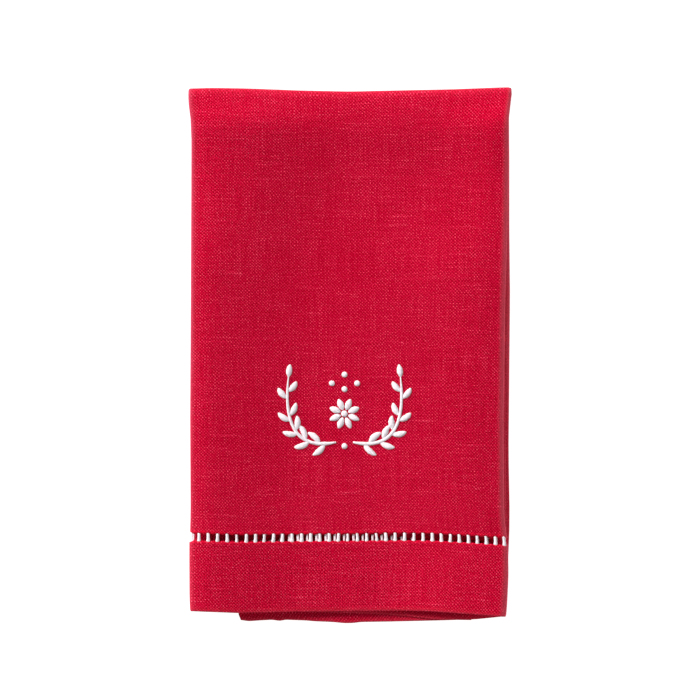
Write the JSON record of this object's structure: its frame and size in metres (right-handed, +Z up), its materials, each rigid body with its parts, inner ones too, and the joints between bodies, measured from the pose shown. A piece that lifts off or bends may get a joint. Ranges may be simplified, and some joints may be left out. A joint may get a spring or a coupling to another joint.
{
  "type": "folded hand towel",
  "caption": "Folded linen hand towel with a deep hem, a hemstitched ladder line and a raised embroidered leaf spray.",
  "frame": {"origin": "on the surface the towel lies on, under the middle of its outline", "axes": "+Y towards the top fold, +X to the right of the front panel as it is read, +Z up out of the front panel"},
  "size_m": [0.1326, 0.2202, 0.0146],
  "materials": {
    "red_linen": "matt plain-woven linen",
    "white_thread": "soft-sheen embroidery thread"
  },
  "bodies": {
    "root": {"linen_cloth": "red_linen", "hemstitch_ladder": "white_thread", "motif_branch_left": "white_thread", "motif_branch_right": "white_thread", "motif_flower": "white_thread", "motif_dot_1": "white_thread", "motif_dot_2": "white_thread", "motif_dot_3": "white_thread", "motif_dot_4": "white_thread", "motif_dot_5": "white_thread"}
  },
  "joints": []
}
